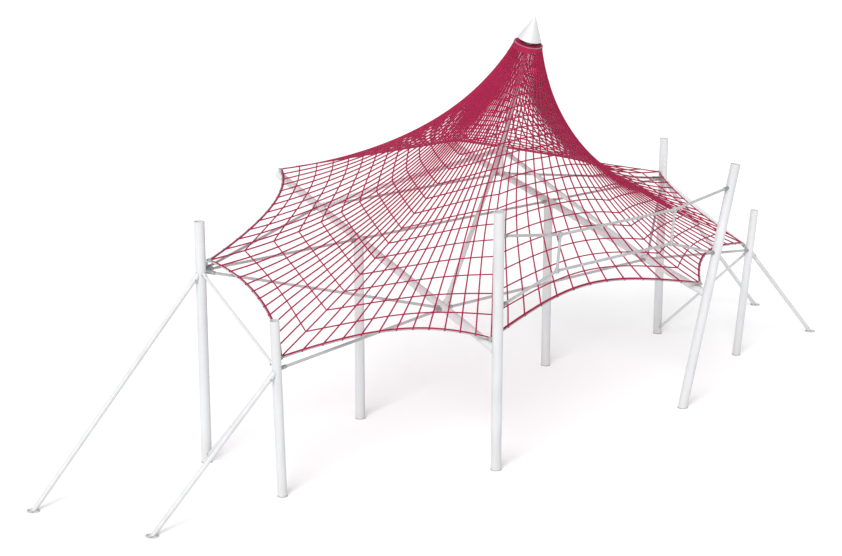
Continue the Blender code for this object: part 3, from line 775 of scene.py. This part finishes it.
CORNER_NAMES = ["back_left", "side_left", "low_left", "front_left",
                "front_right", "low_right", "side_right", "back_right"]
FINER = 3
FABRIC_T = 0.002
WEAVE = 0.008
FABRIC_COLOUR = (0.80, 0.44, 0.51, 1.0)
FABRIC_THREAD = (0.62, 0.18, 0.26, 1.0)
PLATE_R = 0.060


def graded(values, share):
    """A density between the edge, half way up and the peak, on a smooth curve of its logarithm."""
    edge, middle, peak = (math.log(value) for value in values)
    curve = edge * (1.0 - share) * (1.0 - 2.0 * share) + middle * 4.0 * share * (1.0 - share)
    return math.exp(curve + peak * share * (2.0 * share - 1.0))


def swing(pair, step, share):
    """How a density follows twice the turn from the front's middle, and the turn, towards the peak."""
    turn = math.tau * (step - 3.5 * SEGMENTS) / AROUND
    return math.exp(share * (pair[0] * math.cos(2.0 * turn) + pair[1] * math.cos(turn)))


def swell(pair, step, share):
    """How it changes across a sector: by the first value at the edge, with the second half way up."""
    amount = (1.0 - share) * (pair[0] + 4.0 * share * pair[1])
    return math.exp(amount * math.sin(math.pi * step / SEGMENTS))


def kind_of(name):
    """The name of an edge or corner without its side."""
    return name.removesuffix("_left").removesuffix("_right")


def membrane_corners():
    """The eight corners, round from the back left, each with the point that it is linked to."""
    corners = []
    for side in (-1.0, 1.0):
        along = -way_up(roof_at, side).normalized()
        up = (upright - along * upright.dot(along)).normalized()
        back_anchor = roof_at(side, ROOF_BACK_Y) + along * BACK_LINK[0]
        front_anchor = roof_at(side, ROOF_FRONT_Y) + along * FRONT_LINK[0]
        outer = place(side * OUTER_POST_X, 0.0, TIE_Z)
        low = corner_at(side, CORNER_NODE_Z)
        run = [
            (back_anchor, back_anchor + up * BACK_LINK[1]),
            (outer, outer + Vector((side * SIDE_LINK[0], *SIDE_LINK[1:]))),
            (low, low + Vector((side * LOW_LINK[0], *LOW_LINK[1:]))),
            (front_anchor, front_anchor + up * FRONT_LINK[1]),
        ]
        corners += run if side < 0.0 else run[::-1]
    return corners


def form_net(corners):
    """The net's knots, from the edge to the peak ring, as an array of rings.  Those not held are solved."""
    centre = np.array(mast_at(PEAK))
    across = np.array((1.0, 0.0, 0.0))
    forward = np.cross(np.array(MAST_AXIS), across)
    reach = np.array(corners + corners[:1]) - centre
    angles = np.unwrap(np.arctan2(reach @ forward, reach @ across))
    even = math.pi * (0.625 + 0.25 * np.arange(9))
    even += math.tau * round((angles[0] - even[0]) / math.tau)
    angles = (angles + even) / 2.0
    total = AROUND * (RINGS + 1)
    stiffness = np.zeros((total, total))
    points = np.full((total, 3), np.nan)

    def link(a, b, density):
        for one, other in ((a, b), (b, a)):
            stiffness[one, one] += density
            stiffness[one, other] -= density

    for i in range(AROUND):
        sector, step = divmod(i, SEGMENTS)
        following = (i + 1) % AROUND
        kind = kind_of(EDGE_NAMES[sector])
        link(i, following, EDGE_DENSITY[kind])
        for j in range(RINGS):
            up = (j + 0.5) / RINGS
            radial = graded(RADIAL_DENSITY, up) * swing(RADIAL_SWING, i, up)
            radial *= swell(RADIAL_SWELL[kind], step, up)
            if step == 0:
                radial *= graded(CORNER_DENSITY[kind_of(CORNER_NAMES[sector])], up)
            link(j * AROUND + i, (j + 1) * AROUND + i, radial)
            if j:
                ring = graded(RING_DENSITY, j / RINGS) * swing(RING_SWING, i + 0.5, j / RINGS)
                ring *= swell(RING_SWELL[kind], step + 0.5, j / RINGS)
                link(j * AROUND + i, j * AROUND + following, ring)
        angle = angles[sector] + (angles[sector + 1] - angles[sector]) * step / SEGMENTS
        rim = centre + PEAK_RADIUS * (math.cos(angle) * across + math.sin(angle) * forward)
        points[RINGS * AROUND + i] = rim
        if step == 0:
            points[i] = corners[sector]
    free = np.isnan(points[:, 0])
    load = -stiffness[np.ix_(free, ~free)] @ points[~free]
    points[free] = np.linalg.solve(stiffness[np.ix_(free, free)], load)
    return points.reshape(RINGS + 1, AROUND, 3)


def rounded(rows, times):
    """Puts points between the rows of an array, on a smooth curve through each column."""
    run = np.concatenate([[2.0 * rows[0] - rows[1]], rows, [2.0 * rows[-1] - rows[-2]]])
    made = []
    for k in range(1, len(run) - 2):
        a, b, c, d = run[k - 1:k + 3]
        for step in range(times):
            t = step / times
            made.append(b + 0.5 * t * (c - a) + t * t * (a - 2.5 * b + 2.0 * c - 0.5 * d)
                        + t ** 3 * (-0.5 * a + 1.5 * b - 1.5 * c + 0.5 * d))
    made.append(run[-2])
    return np.array(made)


def finer_net(net, times):
    """The net with times as many lines each way, still with a fold at each corner's radial."""
    tall = rounded(net, times)
    turned_net = np.swapaxes(np.concatenate([tall, tall[:, :1]], axis=1), 0, 1)
    sectors = [rounded(turned_net[k * SEGMENTS:(k + 1) * SEGMENTS + 1], times)[:-1] for k in range(8)]
    return np.swapaxes(np.concatenate(sectors), 0, 1)


def unit(rows):
    """The rows of an array, each scaled to a length of 1."""
    return rows / np.linalg.norm(rows, axis=-1, keepdims=True)


def surface_normals(grid):
    """The direction square to the fabric at each knot, upwards."""
    round_it = np.roll(grid, -1, axis=1) - np.roll(grid, 1, axis=1)
    square = unit(np.cross(round_it, np.gradient(grid, axis=0)))
    return square * np.sign(square[:, :, 2].sum())


corners = membrane_corners()
net = form_net([corner for anchor, corner in corners])
grid = finer_net(net, FINER)
normals = surface_normals(grid)
rows, columns = grid.shape[:2]


def distances(points):
    """How far each row of points is from the first, along the columns."""
    steps = np.linalg.norm(np.diff(points, axis=0), axis=-1)
    return np.concatenate([np.zeros_like(steps[:1]), steps.cumsum(axis=0)])


def shell(shape, points, square, under, over):
    """A closed shell round the mast over rows of points, with its panels laid out in metres."""
    metres = shape.loops.layers.uv.get("metres") or shape.loops.layers.uv.new("metres")
    upper, lower = ([[shape.verts.new(point) for point in row] for row in points + square * off]
                    for off in (over, under))
    tall = distances(points)
    wide = np.linalg.norm(np.roll(points, -1, axis=1) - points, axis=2) / 2.0

    def panel(verts, uvs):
        made = shape.faces.new(verts)
        for loop, uv in zip(made.loops, uvs):
            loop[metres].uv = uv

    for j in range(len(points) - 1):
        for i in range(points.shape[1]):
            n = (i + 1) % points.shape[1]
            uvs = [(-wide[j, i], tall[j, i]), (wide[j, i], tall[j, n]),
                   (wide[j + 1, i], tall[j + 1, n]), (-wide[j + 1, i], tall[j + 1, i])]
            panel((upper[j][i], upper[j][n], upper[j + 1][n], upper[j + 1][i]), uvs)
            panel((lower[j + 1][i], lower[j + 1][n], lower[j][n], lower[j][i]), uvs[::-1])
    bridge(shape, [lower[0], upper[0]])
    bridge(shape, [upper[-1], lower[-1]])
    return tall, 2.0 * wide


cloth = bmesh.new()
lengths, widths = shell(cloth, grid, normals, -FABRIC_T / 2.0, FABRIC_T / 2.0)

cloth_finish = {"Sheen Weight": 0.1, "Sheen Roughness": 0.5, "Specular IOR Level": 0.15}
mesh_cloth, inputs, spot = finish_of("mesh_cloth", 0.8, fixed=cloth_finish)
on_cloth = spot.node("ShaderNodeUVMap", settings={"uv_map": "metres"})
thread = spot.math("MAXIMUM", *(on_cloth.part(axis).wave("SINE", WEAVE) for axis in "XY"))
cloudy = spot.noise(1.7, 4.0)
feed(inputs, base_color=spot.mix((thread * 0.35 + cloudy * 0.5 - 0.1).clamp(), FABRIC_COLOUR, FABRIC_THREAD),
     alpha=(0.02 + 0.015 * thread + 0.015 * cloudy).clamp(), normal=bump(thread, 0.0012))
fabric = piece("cloth", cloth, mesh_cloth, "membrane", angle=180.0)


# Cords: a round crimson cord is sewn in a sleeve along every radial seam and every ring, so the
# load runs in them and the mesh between stays sheer.  They crowd together towards the peak.
CORD_R = 0.016
CORD_FLAT = 1.0
CORD_CROWD = 0.72
CORD_BITE = 0.003
CORD_LAY = 0.045
CORD_SIDES = 8
CORNER_CORD_END = 1.5
RING_CORD_WIDTH = 0.9
CORD_COLOUR = (0.345, 0.015, 0.064, 1.0)
CORD_SHADE = (0.280, 0.010, 0.049, 1.0)


def geometry_tree(name, sizes):
    """A Geometry Nodes tree with number inputs, and sockets for its geometry and for each size."""
    tree = bpy.data.node_groups.new(name, "GeometryNodeTree")
    for way in ("INPUT", "OUTPUT"):
        tree.interface.new_socket("Geometry", in_out=way, socket_type="NodeSocketGeometry")
    for size, value in sizes.items():
        made = tree.interface.new_socket(size, in_out="INPUT", socket_type="NodeSocketFloat")
        made.default_value = value
    start = tree.nodes.new("NodeGroupInput")
    return tree, {output.name: Socket(tree, output) for output in start.outputs if output.name}


def swept(line, profile, scale):
    """A profile swept along a line, with its ends closed."""
    return line.then("CurveToMesh", {"Profile Curve": profile, "Scale": scale, "Fill Caps": True})


def close_tree(result, look):
    """Ends a tree: its instances made real and its finish set."""
    dressed = result.then("RealizeInstances").then("SetMaterial", {"Material": look})
    end = result.tree.nodes.new("NodeGroupOutput")
    result.tree.links.new(dressed.output, end.inputs[0])


def grown(name, base, tree, sizes=None):
    """The plain mesh that a tree grows from base, with its inputs set by their identifiers."""
    seed = linked(name, base)
    growth = seed.modifiers.new("growth", "NODES")
    growth.node_group = tree
    for item in tree.interface.items_tree:
        if item.in_out == "INPUT" and item.name in (sizes or {}):
            growth[item.identifier] = sizes[item.name]
    made = bpy.data.meshes.new_from_object(seed.evaluated_get(bpy.context.evaluated_depsgraph_get()))
    made.name = name
    seed.modifiers.remove(growth)
    bpy.data.objects.remove(seed)
    return made


def lines_mesh(name, lines, closed=False, **attributes):
    """A mesh of separate lines of points, with attributes in lists that match them."""
    points, edges = [], []
    for line in lines:
        first = len(points)
        points += [tuple(point) for point in line]
        edges += [(k, k + 1) for k in range(first, len(points) - 1)]
        if closed:
            edges.append((len(points) - 1, first))
    made = bpy.data.meshes.new(name)
    made.from_pydata(points, edges, [])
    for key, values in attributes.items():
        values = np.concatenate([np.asarray(v, dtype=np.float32) for v in values])
        kind, field = ("FLOAT_VECTOR", "vector") if values.ndim == 2 else ("FLOAT", "value")
        made.attributes.new(key, kind, "POINT").data.foreach_set(field, values.ravel())
    return made


def cord_tree(look):
    """Sweeps a round or flat profile along lines, upright on the fabric and as wide as told."""
    tree, given = geometry_tree("cord_in_sleeve", {"Radius": CORD_R, "Flatness": CORD_FLAT})
    lines = given["Geometry"].then("MeshToCurve")
    lines = lines.then("SetCurveNormal", {"Normal": lines.named("square", "FLOAT_VECTOR")}, {"mode": "FREE"})
    lines = lines.stored("along", lines.node("GeometryNodeSplineParameter", out="Length"))
    profile = lines.node("GeometryNodeCurvePrimitiveCircle", {"Resolution": CORD_SIDES, "Radius": 1.0})
    profile = profile.stored("around", profile.node("GeometryNodeInputPosition"), "FLOAT_VECTOR")
    flat = profile.node("ShaderNodeCombineXYZ", {0: given["Flatness"], 1: 1.0, 2: 1.0})
    profile = profile.then("Transform", {"Scale": flat})
    close_tree(swept(lines, profile, lines.named("width") * given["Radius"]), look)
    return tree


crimson_cord, inputs, spot = finish_of("crimson_cord", 0.7, fixed={"Specular IOR Level": 0.12})
along, around = spot.read("along"), spot.read("around", "Vector")
strand = around.part("X") * along.wave("COSINE", CORD_LAY) + around.part("Y") * along.wave("SINE", CORD_LAY)
faded = spot.noise(1.1, 4.0)
feed(inputs, base_color=spot.mix((strand * 0.25 + faded * 0.9 - 0.2).clamp(), CORD_COLOUR, CORD_SHADE),
     roughness=0.62 + 0.2 * faded, normal=bump(strand, 0.0015))
cord = cord_tree(crimson_cord)


def cut(line, arc, start, end):
    """The part of a line between two distances along it, with a point at each end."""
    at = np.concatenate([[start], arc[(arc > start) & (arc < end)], [end]])
    return np.stack([np.interp(at, arc, column) for column in line.T], axis=-1)


def corded(name, runs, closed=False, sizes=None, look=crimson_cord, angle=60.0):
    """A piece of cord along runs, whose rows are a point, the way that is upright, and a width."""
    base = lines_mesh(name, [run[:, :3] for run in runs], closed,
                      square=[run[:, 3:6] for run in runs], width=[run[:, 6] for run in runs])
    return piece(name, grown(name, base, cord, sizes), look, angle=angle)


spacing = np.minimum(widths, np.roll(widths, 1, axis=1)) * FINER
radials = []
for i in range(0, columns, FINER):
    at_corner = i % (SEGMENTS * FINER) == 0
    narrow = np.minimum(1.0, CORD_CROWD * spacing[:, i] / (2.0 * CORD_R))
    if at_corner:
        narrow = np.maximum(narrow, np.minimum(1.0, CORNER_CORD_END - lengths[:, i]))
    run = np.column_stack([grid[:, i], normals[:, i], narrow])
    radials.append(cut(run, lengths[:, i], PLATE_R - CORD_BITE if at_corner else 0.0, lengths[-1, i]))
radial_cords = corded("radial_cords", radials)
rings = [np.column_stack([grid[j], normals[j], np.full(columns, RING_CORD_WIDTH)])
         for j in range(FINER, rows - 1, FINER)]
ring_cords = corded("ring_cords", rings, closed=True)


# Peak cuff: plain crimson cloth that closes the peak ring from the mast's collar out, turns over
# its rim and covers the first of the seams under it, to which it is sewn.
SKIRT_LENGTH = 0.16
SKIRT_LIFT = 0.006
SKIRT_T = 0.003

cuff = bmesh.new()
cuff_in = rim_out + SLIP
turned(cuff, plate_low, MAST_AXIS, [
    (-CUFF_DROP, cuff_in + CUFF_T), (cuff_seat + 0.4 * CUFF_T, cuff_in + CUFF_T),
    (cuff_seat + CUFF_T, cuff_in + 0.4 * CUFF_T), (cuff_seat + CUFF_T, CUFF_IN), (cuff_seat, CUFF_IN),
    (cuff_seat, cuff_in), (-CUFF_DROP, cuff_in),
], WIDE_SIDES, closed=True)
skirt_rows = int(np.sum((lengths[-1] - lengths).mean(axis=1) < SKIRT_LENGTH))
shell(cuff, grid[-skirt_rows:], normals[-skirt_rows:], SKIRT_LIFT, SKIRT_LIFT + SKIRT_T)
peak_cuff = piece("peak_cuff", cuff, crimson_cord, angle=60.0)


# Hem and edge cables: the membrane's edges end in a flat crimson hem, and a stranded steel cable
# runs along each, held by webbing loops.  Swaged sleeves join the cables to the corner plates.
HEM_R = 0.024
HEM_FLAT = 0.5
HEM_IN = 0.016
CABLE_R = 0.014
CABLE_CLEAR = 0.0004
CABLE_LAY = 0.20
CABLE_STEP = 0.025
CABLE_SIDES = 24
STRANDS = 6
STRAND_DEPTH = 0.11
SLEEVE_R = 0.0185
SLEEVE_LENGTH = 0.13
SLEEVE_CHAMFER = (0.003, 0.002)
SLEEVE_TAPER = (0.03, 0.001)
LOOP_R = 0.0158
LOOP_HALF = 0.013
LOOP_T = 0.004
CABLE_COLOUR = (0.60, 0.605, 0.61, 1.0)
CABLE_SHADE = (0.36, 0.365, 0.37, 1.0)


def strand_tree(look):
    """Twists a lobed profile along a line, so that it reads as wires laid round a core."""
    tree, given = geometry_tree("stranded_cable", {"Radius": CABLE_R, "Lay": CABLE_LAY, "Step": CABLE_STEP})
    line = given["Geometry"].then("MeshToCurve")
    line = line.then("ResampleCurve", {"Length": given["Step"]}, {"mode": "LENGTH"})
    tilt = line.node("GeometryNodeSplineParameter", out="Length") / given["Lay"] * math.tau
    line = line.then("SetCurveNormal", settings={"mode": "Z_UP"}).then("SetCurveTilt", {"Tilt": tilt})
    profile = line.node("GeometryNodeCurvePrimitiveCircle", {"Resolution": CABLE_SIDES, "Radius": 1.0})
    at = profile.node("GeometryNodeInputPosition")
    lobes = at.math("ARCTAN2", at.part("Y"), at.part("X")) * float(STRANDS)
    depth = 1.0 - STRAND_DEPTH + STRAND_DEPTH * lobes.math("COSINE", lobes)
    spread = at.node("ShaderNodeVectorMath", {0: at, "Scale": depth}, {"operation": "SCALE"})
    # The profile's depth is stored as valley, so the cable's finish can paint shade into the grooves from
    # it.
    profile = profile.then("SetPosition", {"Position": spread}).stored("valley", depth)
    close_tree(swept(line, profile, given["Radius"]), look)
    return tree


cable_steel, inputs, spot = finish_of("cable_steel", 0.38, metallic=0.4)
# Painted shade: the colour darkens towards CABLE_SHADE down in the grooves between the wires, where the real
# grooves already shade them. Random dull patches also darken it a little.
groove_shade = ((1.0 - spot.read("valley")) * 6.0).clamp()
dull = spot.noise(5.0, 4.0)
feed(inputs, base_color=spot.mix((groove_shade + dull * 0.4).clamp(), CABLE_COLOUR, CABLE_SHADE),
     roughness=0.30 + 0.2 * dull)
stranded = strand_tree(cable_steel)
hems, loops = [], []
sleeves = bmesh.new()
for index, edge_name in enumerate(EDGE_NAMES):
    first = index * SEGMENTS * FINER
    columns_of = [(first + k) % columns for k in range(SEGMENTS * FINER + 1)]
    edge = grid[0, columns_of]
    tangent = unit(np.gradient(edge, axis=0))
    inward = grid[FINER, columns_of] - edge
    inward[0], inward[-1] = inward[1], inward[-2]
    inward = unit(inward - tangent * (inward * tangent).sum(axis=1, keepdims=True))
    run = edge - inward * (CABLE_R + CABLE_CLEAR)
    off_plates = np.minimum(*(np.linalg.norm(edge - corner, axis=1) for corner in (edge[0], edge[-1])))
    clear = run[off_plates > PLATE_R]
    ends = []
    for corner, at, step in ((edge[0], run[0], clear[0]), (edge[-1], run[-1], clear[-1])):
        way = unit(step - at)
        ends.append((at + way * (PLATE_R + CABLE_CLEAR - (at - corner) @ way), way))
    path = np.concatenate([[ends[0][0]], clear, [ends[1][0]]])
    strands = grown(edge_name, lines_mesh(edge_name, [path]), stranded)
    piece("strands", strands, cable_steel, f"edge_cable_{edge_name}", angle=80.0)
    for start, way in ends:
        turned(sleeves, Vector(start), Vector(way), [
            (0.0, 0.0), (0.0, SLEEVE_R - SLEEVE_CHAMFER[1]), (SLEEVE_CHAMFER[0], SLEEVE_R),
            (SLEEVE_LENGTH - SLEEVE_TAPER[0], SLEEVE_R), (SLEEVE_LENGTH, CABLE_R + SLEEVE_TAPER[1]),
            (SLEEVE_LENGTH, 0.0),
        ], sides=24)
    arc = distances(edge)
    hem = np.column_stack([edge + inward * HEM_IN, normals[0, columns_of], np.ones(len(edge))])
    hems.append(cut(hem, arc, PLATE_R - CORD_BITE, arc[-1] - PLATE_R + CORD_BITE))
    loops += [(run[k], tangent[k], 1.0) for k in range(FINER, SEGMENTS * FINER, FINER)]
piece("cable_sleeves", sleeves, tie_paint)
edge_hem = corded("edge_hem", hems, sizes={"Radius": HEM_R, "Flatness": HEM_FLAT})


def repeated(name, spots, model, look, angle=35.0):
    """Sets one small model, built along +Z in units of its size, at every spot."""
    tree, given = geometry_tree(name, {})
    points = given["Geometry"]
    turn = points.node("FunctionNodeAlignRotationToVector", {"Vector": points.named("axis", "FLOAT_VECTOR")},
                       {"axis": "Z"})
    sockets = {"Instance": model(points), "Rotation": turn, "Scale": points.named("size")}
    close_tree(points.then("InstanceOnPoints", sockets), look)
    base = lines_mesh(name, [[spot] for spot, way, size in spots],
                      axis=[[way] for spot, way, size in spots], size=[[size] for spot, way, size in spots])
    return piece(name, grown(name, base, tree), look, angle=angle)


def loop_model(start):
    """A band of webbing round a cable."""
    hoop = start.node("GeometryNodeCurvePrimitiveCircle", {"Resolution": 16, "Radius": LOOP_R})
    flat = {"Width": LOOP_T, "Height": 2.0 * LOOP_HALF}
    band = start.node("GeometryNodeCurvePrimitiveQuadrilateral", flat)
    return hoop.then("CurveToMesh", {"Profile Curve": band})


edge_loops = repeated("edge_loops", loops, loop_model, crimson_cord)


# Corner plates: two round plates clamp the cloth, the hem and the cables at each corner, with five
# bolts through them.  A threaded link pins them to a socket on the post or roof tube.
PLATE_T = 0.020
PLATE_GROOVE = 0.003
LINK_R = 0.020
LINK_REACH = 0.185
ROOF_LINK_REACH = 0.105
PLATE_BOLTS = 5
PLATE_BOLT_R = 0.042
PLATE_BOLT_SIZE = 0.0085
PLATE_BOLT_SINK = 0.0005
NUT_R = 0.033
NUT_HALF = 0.011
NUT_GAP = 0.002
link_sockets = bmesh.new()
for index, (corner_name, (anchor, corner)) in enumerate(zip(CORNER_NAMES, corners)):
    at = index * SEGMENTS
    side = 1.0 if corner.x > 0.0 else -1.0
    reach, owner = ROOF_LINK_REACH, (way_up(roof_at, side), ROOF_R)
    if "side" in corner_name:
        reach, owner = LINK_REACH, (upright, POST_R)
    elif "low" in corner_name:
        reach, owner = LINK_REACH, (way_up(corner_at, side), CORNER_POST_R)
    one = Vector(net[0, (at + 1) % AROUND]) - corner
    other = Vector(net[0, at - 1]) - corner
    square = other.cross(one).normalized()
    if square.z < 0.0:
        square.negate()
    plate = bmesh.new()
    half = PLATE_T / 2.0
    turned(plate, corner - square * half, square, [
        (0.0, 0.0), (0.0, PLATE_R - CHAMFER), (CHAMFER, PLATE_R), (0.4 * PLATE_T, PLATE_R),
        (0.4 * PLATE_T, PLATE_R - PLATE_GROOVE), (0.6 * PLATE_T, PLATE_R - PLATE_GROOVE),
        (0.6 * PLATE_T, PLATE_R), (PLATE_T - CHAMFER, PLATE_R), (PLATE_T, PLATE_R - CHAMFER), (PLATE_T, 0.0),
    ], sides=36)
    towards = socketed(link_sockets, anchor, corner, LINK_R, reach, owner, depth=0.3, sides=32)
    plain_rod(plate, anchor + towards * (reach - ENTRY), corner, LINK_R)
    turned(plate, anchor + towards * (reach + NUT_GAP), towards, drum(2.0 * NUT_HALF, NUT_R), sides=6)
    piece("clamp", plate, galvanised, f"corner_plate_{corner_name}")
    for off in spokes(square, PLATE_BOLTS, 0.25):
        pinned(corner + off * PLATE_BOLT_R, square, half - PLATE_BOLT_SINK, PLATE_BOLT_SIZE)
piece("link_sockets", link_sockets, tie_paint)


# Bolts: hexagon heads on round washers, of galvanised steel.  They sit at every socket, clamp, plate
# and foot, and round the hoop at the peak.
WASHER = (12, 1.45, 0.22, 0.11)
HEAD = (6, 1.0, 0.75, 0.58)
BOLT_END = (8, 0.5, 0.3, 1.08)


def bolt_model(start):
    """A hexagon head over its washer."""
    parts = start.node("GeometryNodeJoinGeometry")
    for sides, radius, depth, middle in (WASHER, HEAD, BOLT_END):
        disc = start.node("GeometryNodeMeshCylinder", {"Vertices": sides, "Radius": radius, "Depth": depth})
        disc = disc.node("GeometryNodeTransform", {"Geometry": disc, "Translation": (0.0, 0.0, middle)})
        start.tree.links.new(disc.output, parts.output.node.inputs[0])
    return parts


repeated("bolts", pins, bolt_model, galvanised, angle=30.0)


# Welds: a rippled bead of steel runs round every socket where it meets its post or tube, and round
# the foot of each guy.  It is painted over.
WELD_R = 0.0065
WELD_RIPPLE = 0.012

weld_paint, inputs, spot = finish_of("weld_paint", 0.5)
ripple = spot.read("along").wave("SINE", WELD_RIPPLE)
feed(inputs, base_color=spot.mix((ripple * 0.3 + spot.noise(20.0) * 0.6).clamp(), PAINT_SHADE, TIE_COLOUR),
     normal=bump(ripple, 0.002))
weld_runs = [np.column_stack([ring, np.tile(upright, (len(ring), 1)), np.ones(len(ring))]) for ring in beads]
corded("welds", weld_runs, True, {"Radius": WELD_R}, weld_paint, angle=35.0)
